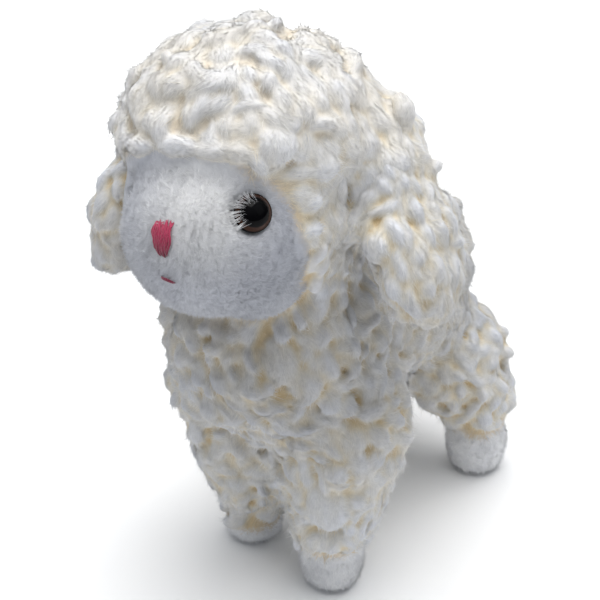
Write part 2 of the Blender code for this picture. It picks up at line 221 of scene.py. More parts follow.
def object_from(bm, name):
    """A new object from this bmesh, which goes."""
    mesh = bpy.data.meshes.new(name)
    bm.to_mesh(mesh)
    bm.free()
    return new_object(name, mesh)


def read(things, name, width=1, kind=np.float32):
    """A row of this many values from each of these things."""
    values = np.empty(len(things) * width, kind)
    things.foreach_get(name, values)
    return values.reshape(-1, width) if width > 1 else values


def points_of(mesh):
    return read(mesh.vertices, "co", 3).astype(float)


def normals_of(mesh):
    return read(mesh.vertex_normals, "vector", 3).astype(float)


def set_value(mesh, name, values):
    attribute = mesh.attributes.new(name, "FLOAT", "POINT")
    attribute.data.foreach_set("value", values.astype(np.float32))


def unit(vectors):
    return vectors / np.maximum(np.linalg.norm(vectors, axis=-1, keepdims=True), 1e-12)


def search_tree(points, chosen):
    """A tree that finds which of the chosen points is nearest, by its index."""
    tree = KDTree(len(chosen))
    for index in chosen:
        tree.insert(Vector(points[index]), int(index))
    tree.balance()
    return tree


def strayed(vectors, amount, rng):
    """Unit vectors along these, each turned at random by about this much."""
    return unit(vectors + rng.normal(0, amount, vectors.shape))


def node_tree_of(names):
    """A search tree of these CAD nodes together, and the node's index of each face."""
    points, faces, owner = [], [], []
    for index, name in enumerate(names):
        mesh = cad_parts[name].data
        start = len(points)
        points.extend(vert.co.copy() for vert in mesh.vertices)
        for face in mesh.polygons:
            faces.append([start + corner for corner in face.vertices])
            owner.append(index)
    return BVHTree.FromPolygons(points, faces), owner


def home_of(points):
    """The index in NODES of the solid that each point lies nearest to."""
    tree, owner = node_tree_of(NODES)
    return np.array([owner[tree.find_nearest(Vector(point))[2]] for point in points])


def joined_skin():
    """One closed surface over all the flesh nodes, before the coat's depth is taken off."""
    bm = bmesh.new()
    for name in NODES:
        bm.from_mesh(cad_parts[name].data)
    bmesh.ops.remove_doubles(bm, verts=bm.verts, dist=1e-6)
    obj = object_from(bm, "skin_rough")
    add_modifier(obj, "DISPLACE", strength=SEAM_CLOSING, mid_level=0)
    add_modifier(obj, "REMESH", mode="VOXEL", voxel_size=SKIN_VOXEL)
    add_modifier(obj, "SMOOTH", factor=0.5, iterations=4)
    return baked(obj, "skin_full")


def smoothed_over(mesh, values, passes):
    """Averages one value per vertex with its neighbours', passes times."""
    a, b = read(mesh.edges, "vertices", 2, np.int32).T
    count = np.bincount(a, minlength=len(values)) + np.bincount(b, minlength=len(values))
    shape = (slice(None),) + (None,) * (values.ndim - 1)
    for _ in range(passes):
        total = np.zeros_like(values)
        np.add.at(total, a, values[b])
        np.add.at(total, b, values[a])
        values = 0.5 * values + 0.5 * total / count[shape]
    return values


def from_face(points):
    """The points in the face's own frame, whose -Y looks out of the face."""
    return (points - np.array(middle_of("face"))) @ np.array(HEAD_TURN)


def over_brow(points):
    """Which points lie just past the face's edge, where its pile runs on under the curls."""
    tree, _ = node_tree_of(["face"])
    gap = np.array([tree.find_nearest(Vector(point))[3] for point in points])
    return gap < np.interp(from_face(points)[:, 2] / MM, [-12, -4, 8], [0.0, 4.5, 6.5]) * MM


def past_cheek(points, pile):
    """Which points of the face, at the toy's left cheek, the fleece grows in over."""
    turned = from_face(points)
    yaw = np.degrees(np.arctan2(turned[:, 0], -turned[:, 1]))
    reach = np.interp(yaw, [35, 55], [0, CHEEK_GROWTH]) * MM
    reach *= np.interp(turned[:, 2] / MM, [-22, -12], [0, 1])
    woolly = search_tree(points, np.flatnonzero(pile == 0))
    past = np.zeros(len(points), bool)
    for index in np.flatnonzero((pile == 1) & (reach > 0) & (points[:, 2] > FEET_TOP)):
        past[index] = woolly.find(Vector(points[index]))[2] < reach[index]
    return past


def make_skin():
    """The cloth under the coat: it lies inside the solids by the depth of the coat there.

    Returns the object with a "pile" attribute, 1 on the face and feet and 0 under the fleece.
    """
    full = joined_skin()
    mesh = full.data
    points = points_of(mesh)
    home = home_of(points)
    pile = (home >= len(FLEECE_NODES)).astype(float)
    pile[over_brow(points)] = 1
    pile[past_cheek(points, pile)] = 0
    pile[(home == NODES.index("foot_front_right")) & (points[:, 2] > FAR_HEM)] = 0
    pile = smoothed_over(mesh, pile, PILE_PASSES)
    depth = FLEECE_DEPTH + (PILE_DEPTH - FLEECE_DEPTH) * smoothed_over(mesh, pile, DEPTH_PASSES)
    normals = unit(smoothed_over(mesh, normals_of(mesh), NORMAL_PASSES))
    depth += SEAM_CLOSING
    inner = smoothed_over(mesh, points - normals * depth[:, None], CLOTH_PASSES)
    mesh.vertices.foreach_set("co", inner.astype(np.float32).ravel())
    mesh.update()
    full.name = "cloth"
    set_value(mesh, "pile", pile)
    mesh.shade_smooth()
    return full


def unwrap(obj):
    """Unwraps the skin in its own flat patches; every root takes its place from this."""
    bpy.ops.object.select_all(action="DESELECT")
    obj.select_set(True)
    bpy.context.view_layer.objects.active = obj
    obj.data.uv_layers.new(name="OFBake")
    bpy.ops.object.mode_set(mode="EDIT")
    bpy.ops.mesh.select_all(action="SELECT")
    bpy.ops.uv.smart_project(angle_limit=math.radians(70), island_margin=0.004)
    bpy.ops.object.mode_set(mode="OBJECT")


class Skin:
    """The skin's triangles, for scattering roots and for laying locks along it."""

    def __init__(self, obj):
        mesh = obj.data
        mesh.calc_loop_triangles()
        self.triangles = read(mesh.loop_triangles, "vertices", 3, np.int32)
        self.points = points_of(mesh)
        self.normals = normals_of(mesh)
        # How much of each triangle bears pile and not fleece.
        self.cover = read(mesh.attributes["pile"].data, "value")[self.triangles].mean(axis=1)
        self.stand = np.zeros(len(mesh.vertices), np.float32)
        if "stand" in mesh.attributes:
            self.stand = read(mesh.attributes["stand"].data, "value")
        uvs = np.zeros((len(mesh.loops), 2), np.float32)
        if "OFBake" in mesh.uv_layers:
            uvs = read(mesh.uv_layers["OFBake"].uv, "vector", 2)
        self.uvs = uvs[read(mesh.loop_triangles, "loops", 3, np.int32)]
        a, b, c = (self.points[self.triangles[:, corner]] for corner in range(3))
        self.areas = np.linalg.norm(np.cross(b - a, c - a), axis=1) / 2
        self.tree = BVHTree.FromPolygons([Vector(p) for p in self.points], self.triangles.tolist())

    def scatter(self, rng, chosen, per_mm2):
        """Random places on the chosen triangles, this many to a square millimetre.

        Returns their points, normals, UVs and stand.
        """
        area = np.where(chosen, self.areas, 0)
        picks = rng.choice(len(area), size=int(area.sum() * 1e6 * per_mm2), p=area / area.sum())
        u, v = rng.random((2, len(picks)))
        over = u + v > 1
        u[over], v[over] = 1 - u[over], 1 - v[over]
        weights = np.stack([1 - u - v, u, v], axis=1)[:, :, None]
        corner = self.triangles[picks]
        points = (self.points[corner] * weights).sum(axis=1)
        normals = unit((self.normals[corner] * weights).sum(axis=1))
        uvs = (self.uvs[picks] * weights).sum(axis=1)
        return points, normals, uvs, self.stand[corner].mean(axis=1)

    def scatter_apart(self, rng, chosen, spacing):
        """Random points on the chosen triangles, no two nearer than spacing, and the normals there."""
        points, normals, _, _ = self.scatter(rng, chosen, 5 / (spacing / MM) ** 2)
        keep = spaced(points, spacing)
        return points[keep], normals[keep]

    def nearest(self, points):
        """The nearest place on the skin to each point, the skin's normal there and its triangle."""
        found = [self.tree.find_nearest(Vector(point)) for point in points]
        return tuple(np.array([hit[column] for hit in found]) for column in range(3))

    def pile_at(self, points):
        return self.cover[self.nearest(points)[2]]


def spaced(points, spacing):
    """Which points to keep so that no two lie nearer than spacing."""
    cells, keep = {}, []
    grid = np.floor(points / spacing).astype(int)
    around = [(i, j, k) for i in (-1, 0, 1) for j in (-1, 0, 1) for k in (-1, 0, 1)]
    for index, ((x, y, z), point) in enumerate(zip(grid.tolist(), points.tolist())):
        others = (other for i, j, k in around for other in cells.get((x + i, y + j, z + k), ()))
        if all(sum((p - q) ** 2 for p, q in zip(other, point)) >= spacing**2 for other in others):
            cells.setdefault((x, y, z), []).append(point)
            keep.append(index)
    return np.array(keep)


def along_surface(directions, normals):
    """The directions with their part along the normals taken out."""
    flat = directions - (directions * normals).sum(axis=1, keepdims=True) * normals
    return unit(flat)


def lie_of(region, points, normals):
    """The way that the locks of this region hang, before they are ruffled."""
    low, high = (np.array(corner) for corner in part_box(region))
    middle = (low + high) / 2
    if region == "head":
        # Away from a point behind the crown, turned by the twist, and outwards round the near eye.
        away = points - np.array([middle[0], middle[1] + 40 * MM, high[2]])
        away[:, 2] -= 10 * MM
        lies = along_surface(away, normals)
        lies = unit(lies * math.cos(HEAD_TWIST) + np.cross(normals, lies) * math.sin(HEAD_TWIST))
        off = points - np.array(middle_of("eye_left"))
        near = np.interp(np.linalg.norm(off, axis=1) / MM, [14, 30], [0.85, 0])[:, None]
        return unit(lies * (1 - near) + along_surface(off, normals) * near)
    fall = np.tile([0, 0.25 if region == "tail" else 0.05, -1.0], (len(points), 1))
    if region == "trunk":
        fall = np.tile([0, 0.35, -0.9], (len(points), 1))
        fall[:, 0] = np.sign(points[:, 0] - middle[0]) * 0.5
    return along_surface(fall, normals)


def ruffled(lies, points, normals, rng, swirl, scatter):
    """Turns each lie about its normal: neighbours together by swirl, each alone by scatter."""
    angle = field_at(points, 17 * MM) * swirl * 1.5 + rng.normal(0, scatter, len(points))
    across = np.cross(normals, lies)
    return lies * np.cos(angle)[:, None] + across * np.sin(angle)[:, None]


def eased(values):
    """Smooth step of values from 0 to 1."""
    values = np.clip(values, 0, 1)
    return values * values * (3 - 2 * values)


def field_at(points, size, offset=0.0):
    """Smooth noise over space, one value a point, with features about size across."""
    shift = Vector((offset, offset * 0.7, -offset))
    return np.array([noise.noise(Vector(point) / size + shift) for point in points])


class Locks:
    """The shape of every lock in one piece of coat, as frames along each lock's run.

    A lock starts low under its neighbours and rises along its run, so that its blunt end lies
    over the next one, as shingles do.
    """

    def __init__(self, skin, roots, normals, lies, size, rng, upper=True, vary=LOCK_VARIETY, over=0.0):
        count = len(roots)
        # Neighbours are of a size, and the under layer is thinner.
        clump = 1 + 1.7 * vary * field_at(roots, 11 * MM, 30.0)
        length = size["length"] * MM * clump * rng.uniform(1 - vary, 1 + vary, count)
        self.width = size["width"] * MM * clump * rng.uniform(1 - vary, 1 + vary, count)
        thick = size["thick"] * MM * rng.uniform(1 - vary, 1 + vary, count)
        thick *= np.where(upper, 1.15, 0.9)
        # How far the end is lifted: one lock in ten stands proud of its layer.
        proud = np.where(rng.random(count) < 0.10, rng.uniform(0.5, 2.2, count), 0) * MM
        swell = 1 + 0.3 * field_at(roots, 14 * MM, 70.0)
        share = [rng.uniform(0.85, 1.1, count), rng.uniform(0, 0.25, count) + size["under"]]
        lift = FLEECE_DEPTH * np.where(upper, *share) * swell + proud - thick * 0.5 + over * MM
        tuck = rng.uniform(0.05, 0.6, count)
        sway = rng.normal(0, size["sway"], count)
        run = LOCK_RUN[None, :]
        # It starts just under the skin, is up by 0.72 of its run, and tucks its tip in from 0.6 on.
        low = -0.4 * MM
        height = low + (lift - low)[:, None] * eased(run / 0.72)
        height = height - (tuck * lift)[:, None] * np.clip((run - 0.6) / 0.4, 0, 1) ** 2
        height = np.maximum(height, -0.8 * MM)
        # It bows to one side, follows the skin and stands partly off its root's own normal.
        across = np.cross(normals, lies)
        side = (np.sin(np.pi * run * 1.15) * sway[:, None]) * length[:, None]
        guide = (
            roots[:, None, :]
            + lies[:, None, :] * (length[:, None] * run)[..., None]
            + across[:, None, :] * side[..., None]
        )
        place, up, _ = skin.nearest(guide.reshape(-1, 3))
        place = place.reshape(guide.shape)
        up = unit(up.reshape(guide.shape) + normals[:, None, :] * 0.6)
        self.centre = place + up * height[..., None]
        self.tangent = unit(np.gradient(self.centre, axis=1))
        self.across = unit(np.cross(up, self.tangent))
        self.over = unit(np.cross(self.tangent, self.across))
        girth = LOCK_GIRTH[None, :] * (1 + rng.normal(0, 0.08, (count, len(LOCK_RUN))))
        self.half_width = self.width[:, None] / 2 * girth
        self.half_thick = thick[:, None] / 2 * girth**0.7
        # A lock that would jump a gap, from the head to an ear say, is left out.
        steps = np.linalg.norm(np.diff(place, axis=1), axis=2)
        sound = (steps < 1.9 * length[:, None] * np.diff(LOCK_RUN) + 0.6 * MM).all(axis=1)
        vars(self).update({name: values[sound] for name, values in vars(self).items()})

    def solids(self):
        """The closed solid of each lock, as points and faces."""
        turn = np.arange(CORE_SIDES) / CORE_SIDES * 2 * np.pi
        wide = self.half_width[..., None] * np.cos(turn)
        thick = self.half_thick[..., None] * (np.sin(turn) - np.cos(turn) ** 2 * 0.35)
        rings = (
            self.centre[:, :, None]
            + self.across[:, :, None] * wide[..., None]
            + self.over[:, :, None] * thick[..., None]
        )
        tips = self.centre[:, -1] + self.tangent[:, -1] * (self.width * 0.06)[:, None]
        return closed_tubes(rings, tips)


def tube_faces(rings, sides):
    """Quads along one tube, its tip fan and its closed root, by vertex number."""
    quads = []
    for ring in range(rings - 1):
        for side in range(sides):
            a = ring * sides + side
            b = ring * sides + (side + 1) % sides
            quads.append((a, b, b + sides, a + sides))
    tip = rings * sides
    last = (rings - 1) * sides
    fan = [(last + side, last + (side + 1) % sides, tip) for side in range(sides)]
    root = [tuple(reversed(range(sides)))]
    return quads, fan, root


def closed_tubes(rings, tips):
    """Points and faces of closed tubes from (tubes, rings, sides, 3) points and their tips."""
    count, steps, sides = rings.shape[:3]
    points = np.concatenate([rings.reshape(count, -1, 3), tips[:, None, :]], axis=1)
    shift = (np.arange(count) * (steps * sides + 1))[:, None, None]
    parts = [np.array(part) for part in tube_faces(steps, sides) if part]
    return points.reshape(-1, 3), [(part[None] + shift).reshape(-1, part.shape[1]) for part in parts]


def mesh_of(name, solids):
    """One mesh from a list of (points, faces), and the vertex of each of its corners."""
    sorted_faces, start = {}, 0
    for points, faces in solids:
        for part in faces:
            sorted_faces.setdefault(part.shape[1], []).append(part + start)
        start += len(points)
    corners = [np.concatenate(parts) for parts in sorted_faces.values()]
    loops = np.concatenate([part.ravel() for part in corners]).astype(np.int32)
    sizes = np.concatenate([np.full(len(part), part.shape[1]) for part in corners])
    mesh = bpy.data.meshes.new(name)
    points = np.concatenate([points for points, _ in solids])
    mesh.vertices.add(len(points))
    mesh.vertices.foreach_set("co", points.astype(np.float32).ravel())
    mesh.loops.add(len(loops))
    mesh.loops.foreach_set("vertex_index", loops)
    mesh.polygons.add(len(sizes))
    starts = np.concatenate([[0], np.cumsum(sizes)[:-1]])
    mesh.polygons.foreach_set("loop_start", starts.astype(np.int32))
    mesh.update(calc_edges=True)
    mesh.shade_smooth()
    return mesh, loops


def set_uv(mesh, name, values):
    """A UV map from one value for each corner."""
    layer = mesh.uv_layers.new(name=name)
    layer.uv.foreach_set("vector", values.astype(np.float32).ravel())


def spikes(feet, aims, normals, reach, half_width, uvs, stand, rng):
    """Many slim closed wisps, each from its foot along its aim, flat side out."""
    total = len(feet)
    across = unit(np.cross(aims, normals))
    top = np.cross(across, aims)
    turns = np.radians([30, 270, 150])
    half = np.broadcast_to(half_width, (total,))[:, None, None]
    ring = (
        feet[:, None]
        + across[:, None] * np.cos(turns)[None, :, None] * half
        + top[:, None] * np.sin(turns)[None, :, None] * half * 0.22
    )
    spread = np.array([[-0.5, -0.5], [0.5, -0.5], [0.0, -0.5], [0.0, 0.5]]) * BAKE_PATCH
    strand = np.array([[0.0, 0.0], [1.0, 0.0], [0.5, 0.0], [0.5, 4.0]]) * 0.5
    return dict(
        solid=closed_tubes(ring[:, None], feet + aims * reach[:, None]),
        normals=np.repeat(normals, 4, axis=0),
        OFBake=(uvs[:, None] + spread).reshape(-1, 2),
        strand=(strand + rng.random((total, 1, 2)) * 50).reshape(-1, 2),
        stand=np.repeat(stand, 4),
    )


def joined_piece(name, bundles):
    """One mesh object from bundles of wisps, each shaded by the normal that it was given."""
    mesh, loops = mesh_of(name, [bundle["solid"] for bundle in bundles])
    normals = np.concatenate([bundle["normals"] for bundle in bundles])
    mesh.normals_split_custom_set_from_vertices(normals.tolist())
    for layer in ("OFBake", "strand"):
        set_uv(mesh, layer, np.concatenate([bundle[layer] for bundle in bundles])[loops])
    set_value(mesh, "stand", np.concatenate([bundle["stand"] for bundle in bundles]))
    return new_object(name, mesh)


def fibres(feet, normals, lies, uvs, stand, rng):
    """Fine loose fibres along the locks: most lie close, and some stand off."""
    total = len(feet)
    rise = rng.gamma(1.5, 0.09, total)[:, None]
    loose = rng.random((total, 1)) < 0.06
    rise = np.where(loose, rise + 0.8, rise)
    aim = strayed(lies + normals * rise, 0.23, rng)
    reach = rng.gamma(6.0, 0.45, total) * MM * np.where(loose[:, 0], 1.35, 1)
    half = FIBRE_WIDTH / 2 * rng.uniform(0.7, 1.4, total) / (1 + 1.2 * rise[:, 0])
    shading = strayed(normals, 0.14, rng)
    return spikes(feet - normals * 0.08 * MM, aim, shading, reach, half, uvs, stand + 0.06, rng)


def short_pile(points, normals, uvs, lies, rng):
    """Short pile: fine spikes that lean over along the lie, in small clumps."""
    count = len(points)
    clump = np.array([noise.noise_vector(Vector(point) / (1.7 * MM)) for point in points])
    lean = rng.uniform(0.3, 0.9, count)[:, None]
    aims = strayed(lies * np.cos(lean) + normals * np.sin(lean) + clump * 0.9, 0.15, rng)
    reach = PILE_LENGTH * rng.uniform(0.6, 1.3, count)
    half = PILE_WIDTH / 2 * rng.uniform(0.7, 1.3, count)
    stand = 0.65 + clump[:, 0] * 0.6 + rng.normal(0, 0.1, count)
    shading = strayed(normals + clump * 0.6, 0.12, rng)
    return spikes(points - normals * 0.3 * MM, aims, shading, reach, half, uvs, stand, rng)


# ---- materials ----


def new_material(name, slot, roughness, sheen=0.0, specular=0.5):
    """A material and its node tree, with constant values set on the shader's own sockets."""
    material = bpy.data.materials.new(name)
    material.use_nodes = True
    sockets = material.node_tree.nodes["Principled BSDF"].inputs
    sockets["Roughness"].default_value = roughness
    sockets["Sheen Weight"].default_value = sheen
    sockets["Sheen Roughness"].default_value = 0.45
    sockets["Specular IOR Level"].default_value = specular
    material["slot"] = slot
    return material, material.node_tree


def painted(material, colour):
    """The material, with this colour linked to its shader."""
    shader = material.node_tree.nodes["Principled BSDF"]
    material.node_tree.links.new(colour, shader.inputs["Base Color"])
    return material


def add_node(tree, kind, **settings):
    node = tree.nodes.new("ShaderNode" + kind)
    for key, value in settings.items():
        if key in node.inputs:
            node.inputs[key].default_value = value
        else:
            setattr(node, key, value)
    return node


def through(tree, source, kind, output, **settings):
    """This output of a new node, with source linked to the node's first socket."""
    node = add_node(tree, kind, **settings)
    tree.links.new(source, node.inputs[0])
    return node.outputs[output]


def noise_over(tree, source, **settings):
    return through(tree, source, "TexNoise", "Fac", **settings)


def share_of(tree, source, low, high):
    """How far source lies from low, 0, to high, 1."""
    return through(tree, source, "MapRange", "Result", **{"From Min": low, "From Max": high})


def place_in(tree):
    """The place on the object, in metres."""
    return add_node(tree, "TexCoord").outputs["Object"]


def grey(value):
    return (value, value, value)


def add_ramp(tree, source, stops):
    """A colour ramp from (position, colour) stops, driven by source."""
    ramp = tree.nodes.new("ShaderNodeValToRGB")
    elements = ramp.color_ramp.elements
    elements.remove(elements[-1])
    for index, (position, colour) in enumerate(stops):
        element = elements[0] if index == 0 else elements.new(position)
        element.position = position
        element.color = (*colour, 1)
    tree.links.new(source, ramp.inputs["Fac"])
    return ramp.outputs["Color"]


def mix_colours(tree, kind, amount, first, second):
    mix = tree.nodes.new("ShaderNodeMix")
    mix.data_type = "RGBA"
    mix.blend_type = kind
    for socket, value in ((mix.inputs[0], amount), (mix.inputs[6], first), (mix.inputs[7], second)):
        if isinstance(value, bpy.types.NodeSocket):
            tree.links.new(value, socket)
        else:
            socket.default_value = value
    return mix.outputs[2]


def multiplied(tree, first, *others):
    for other in others:
        first = mix_colours(tree, "MULTIPLY", 1.0, first, other)
    return first


def attribute(tree, name):
    return add_node(tree, "Attribute", attribute_name=name).outputs["Fac"]


def add_bump(tree, height, strength, distance):
    bump = add_node(tree, "Bump", Strength=strength, Distance=distance)
    tree.links.new(height, bump.inputs["Height"])
    tree.links.new(bump.outputs["Normal"], tree.nodes["Principled BSDF"].inputs["Normal"])


# Wool is tan in the crevices and nearly white on the ridges, by its "stand": painted shade in the crevices.
# It is darker on the body by its height over the ground, as painted shade, and on the cap it is more even in
# colour.
WOOL_AND_CREVICE_SHADE_BY_STAND = [
    (0.0, (0.72, 0.57, 0.345)),
    (0.25, (0.80, 0.725, 0.575)),
    (0.5, (0.785, 0.77, 0.73)),
    (0.85, (0.76, 0.775, 0.81)),
]
# Painted shade by height: darkest round the chest and flanks under the head, full at the feet and on the
# head.
PAINTED_SHADE_BY_HEIGHT = [
    (0.030, grey(1.0)),
    (0.060, grey(0.91)),
    (0.090, (0.70, 0.70, 0.705)),
    (0.125, (0.72, 0.72, 0.725)),
    (0.165, grey(0.93)),
    (0.190, grey(1.0)),
]
# On the cap the painted crevice shade is mixed half way to this even cream.
CAP_CREAM = (0.775, 0.755, 0.725, 1)
EVEN_BY_HEIGHT = [(0.175, grey(0)), (0.205, grey(0.5))]

# Pile is warmer in the middle of the face and cooler and darker round it, as painted shade, and palest on the
# feet, where its white is partly painted light from the floor's bounce.
PILE_AND_SHADE_BY_REACH = [(0.0, (0.745, 0.745, 0.74)), (0.65, (0.54, 0.555, 0.60)), (1.0, (0.46, 0.475, 0.515))]
PILE_REACH = (8 * MM, 36 * MM)
# The feet's own white pile, brightened further as painted light from the floor's bounce.
FOOT_WHITE_AND_BOUNCE_LIGHT = (0.99, 0.995, 1.0, 1)
FACE_BY_HEIGHT = [(0.05, grey(0)), (0.06, grey(1))]

EYE_BLACK = (0.0015, 0.0015, 0.002)
EYE_BROWN = (0.050, 0.022, 0.014)
EYE_RINGS = [
    (0.0, EYE_BLACK), (0.74, EYE_BLACK), (0.77, (0.02, 0.012, 0.01)),
    (0.80, EYE_BROWN), (0.93, EYE_BROWN), (0.97, EYE_BLACK),
]
THREAD_PINKS = [(0.32, (0.15, 0.004, 0.022)), (0.5, (0.37, 0.012, 0.062)), (0.7, (0.64, 0.05, 0.15))]


def wool_colour(tree):
    """Cream wool with faint warm patches, painted shade in its crevices and painted shade round the chest and
    flanks.
    """
    place = place_in(tree)
    patches = noise_over(tree, place, Scale=45.0, Detail=2.0)
    tint = add_ramp(tree, patches, [(0.35, (1.0, 0.97, 0.91)), (0.65, (0.985, 0.99, 1.0))])
    height = through(tree, place, "SeparateXYZ", "Z")
    # Painted shade in the crevices, by stand, eased on the cap.
    depth = add_ramp(tree, attribute(tree, "stand"), WOOL_AND_CREVICE_SHADE_BY_STAND)
    depth = mix_colours(tree, "MIX", add_ramp(tree, height, EVEN_BY_HEIGHT), depth, CAP_CREAM)
    # The height ramp multiplies in the painted shade round the chest and flanks.
    return multiplied(tree, depth, tint, add_ramp(tree, height, PAINTED_SHADE_BY_HEIGHT))


def fleece_material():
    """The fleece's loose fibres, streaked along their length."""
    material, tree = new_material("curly_fleece", "fleece", 0.95, sheen=0.35)
    strand = add_node(tree, "UVMap", uv_map="strand").outputs["UV"]
    stretched = through(tree, strand, "Mapping", "Vector", Scale=(2.6, 0.35, 1.0))
    threads = noise_over(tree, stretched, Scale=1.6, Detail=4.0, Roughness=0.65)
    streaks = add_ramp(tree, threads, [(0.3, (0.95, 0.94, 0.92)), (0.6, grey(1))])
    return painted(material, multiplied(tree, wool_colour(tree), streaks))


def pile_colour(tree):
    """White pile with faint patches, painted shade round the face and painted light on the feet."""
    place = place_in(tree)
    gap = add_node(tree, "VectorMath", operation="DISTANCE")
    gap.inputs[1].default_value = middle_of("face") + HEAD_TURN @ Vector((8, -22, 12)) * MM
    tree.links.new(place, gap.inputs[0])
    # Painted shade: cooler and darker with distance from the upper middle of the face.
    face = add_ramp(tree, share_of(tree, gap.outputs["Value"], *PILE_REACH), PILE_AND_SHADE_BY_REACH)
    on_face = add_ramp(tree, through(tree, place, "SeparateXYZ", "Z"), FACE_BY_HEIGHT)
    colour = mix_colours(tree, "MIX", on_face, FOOT_WHITE_AND_BOUNCE_LIGHT, face)
    patches = noise_over(tree, place, Scale=160.0, Detail=3.0)
    return multiplied(tree, colour, add_ramp(tree, patches, [(0.35, (0.92, 0.92, 0.93)), (0.65, grey(1))]))


def pile_material():
    """Short brushed pile."""
    material, tree = new_material("short_pile", "short_pile", 0.95, sheen=0.3)
    shade = add_ramp(tree, attribute(tree, "stand"), [(0.2, (0.80, 0.80, 0.82)), (0.9, grey(1.06))])
    return painted(material, multiplied(tree, pile_colour(tree), shade))


def skin_material():
    """The felted ground: wool under the loose fibres, white under the pile."""
    material, tree = new_material("felted_ground", "fleece", 0.95, sheen=0.3)
    fluff = noise_over(tree, place_in(tree), Scale=700.0, Detail=5.0, Roughness=0.7)
    shade = add_ramp(tree, fluff, [(0.3, (0.78, 0.78, 0.80)), (0.7, (0.93, 0.93, 0.94))])
    colour = mix_colours(tree, "MIX", attribute(tree, "pile"), wool_colour(tree), pile_colour(tree))
    add_bump(tree, fluff, 0.5, 0.4 * MM)
    return painted(material, multiplied(tree, colour, shade))


def eye_material():
    """A polished plastic eye: black pupil, brown iris, dark rim, by distance from its middle."""
    material, tree = new_material("eye_plastic", "eye_plastic", 0.10, specular=0.08)
    rings = add_ramp(tree, attribute(tree, "radial"), EYE_RINGS)
    cloud = noise_over(tree, place_in(tree), Scale=900.0, Detail=2.0)
    shade = add_ramp(tree, cloud, [(0.3, grey(0.7)), (0.7, grey(1))])
    return painted(material, multiplied(tree, rings, shade))


def thread_material():
    """Deep pink embroidery thread with its twisted filaments, and painted shade darker at the foot of the
    nose.
    """
    material, tree = new_material("pink_thread", "pink_thread", 0.6, sheen=0.3)
    strand = add_node(tree, "UVMap", uv_map="strand").outputs["UV"]
    twisted = through(tree, strand, "Mapping", "Vector", Rotation=(0, 0, 0.5), Scale=(3.0, 0.8, 1.0))
    filaments = noise_over(tree, twisted, Scale=2.2, Detail=4.0)
    add_bump(tree, filaments, 0.6, 0.3 * MM)
    # Painted shade: the thread is darker towards the foot of the nose.
    nose = middle_of("nose").z
    up = share_of(tree, through(tree, place_in(tree), "SeparateXYZ", "Z"), nose - 5 * MM, nose + 3 * MM)
    lower_shade = add_ramp(tree, up, [(0.0, (0.50, 0.55, 0.55)), (1.0, grey(1))])
    return painted(material, multiplied(tree, add_ramp(tree, filaments, THREAD_PINKS), lower_shade))


def floor_material():
    """Nearly white ground."""
    material, tree = new_material("pale_floor", "fleece", 0.8)
    grain = noise_over(tree, place_in(tree), Scale=30.0)
    return painted(material, add_ramp(tree, grain, [(0.3, (0.855, 0.855, 0.86)), (0.7, grey(0.865))]))


# ---- eyes, nose and mouth ----

EYES = ("eye_left", "eye_right")
# How each feature looks out of the face, in degrees round and up, and how it is set off from its solid:
# across, in and up, in mm.
FEATURES = {
    "eye_left": (45.0, 20.0, (1.4, 0.6, 0.5)),
    "eye_right": (-61.0, 17.0, (-5.6, 4.0, 0.3)),
    "nose": (3.0, 3.5, (-1.9, 0.0, -0.7)),
    "mouth": (2.0, -19.0, (-0.3, 0.0, -1.6)),
}
# Half of an eye's outline, from the top of its dome to the middle of its back: radius and height in mm.
EYE_PROFILE = [
    (0.0, 3.6), (1.6, 3.5), (3.0, 3.1), (4.0, 2.55), (4.75, 1.9), (5.3, 1.1),
    (5.6, 0.6), (5.95, 0.5), (6.1, 0.2), (6.1, -0.6), (5.6, -1.0), (0.0, -1.2),
]
EYE_RADIUS = 6.1 * MM
EYE_STEPS = 48
NOSE_WIDTH = 6.8 * MM
NOSE_HEIGHT = 11.4 * MM
# The nose's width at its foot, as a share of its width above.
NOSE_TAPER = 0.72
# The nose's layers of thread: how many, how much they waver, and how far they are sunk, in mm.
NOSE_LAYERS = ((8, 0.0, 0.5), (9, 0.34, 0.0))
NOSE_STEPS, MOUTH_STEPS = 12, 9
MOUTH_WIDTH = 4.8 * MM
THREAD_SIDES = 8
# A thread's ends lie this deep in the pile.
THREAD_SUNK = 0.2 * MM


def place_of(node):
    """The place of an eye, the nose or the mouth: its -Y looks out of the face."""
    yaw, elevation, shift = FEATURES[node]
    turn = Matrix.Rotation(math.radians(yaw), 3, "Z") @ Matrix.Rotation(math.radians(-elevation), 3, "X")
    turn = HEAD_TURN @ turn
    return Matrix.Translation(middle_of(node) + turn @ Vector(shift) * MM) @ turn.to_4x4()


def make_eye(node):
    """A domed eye over a slightly wider rim, turned about its own axis."""
    bm = bmesh.new()
    points = [bm.verts.new(Vector((radius, 0, height)) * MM) for radius, height in EYE_PROFILE]
    edges = [bm.edges.new(pair) for pair in zip(points, points[1:])]
    turned = dict(cent=(0, 0, 0), axis=(0, 0, 1), angle=2 * math.pi, steps=EYE_STEPS, use_merge=True)
    bmesh.ops.spin(bm, geom=points + edges, **turned)
    bmesh.ops.remove_doubles(bm, verts=bm.verts, dist=1e-6)
    bmesh.ops.recalc_face_normals(bm, faces=bm.faces)
    radial = np.array([math.hypot(vert.co.x, vert.co.y) / EYE_RADIUS for vert in bm.verts])
    out = Matrix.Rotation(math.radians(90), 4, "X")
    bmesh.ops.transform(bm, matrix=place_of(node) @ out, verts=bm.verts)
    obj = object_from(bm, node + "_button")
    set_value(obj.data, "radial", radial)
    obj.data.shade_smooth()
    return obj


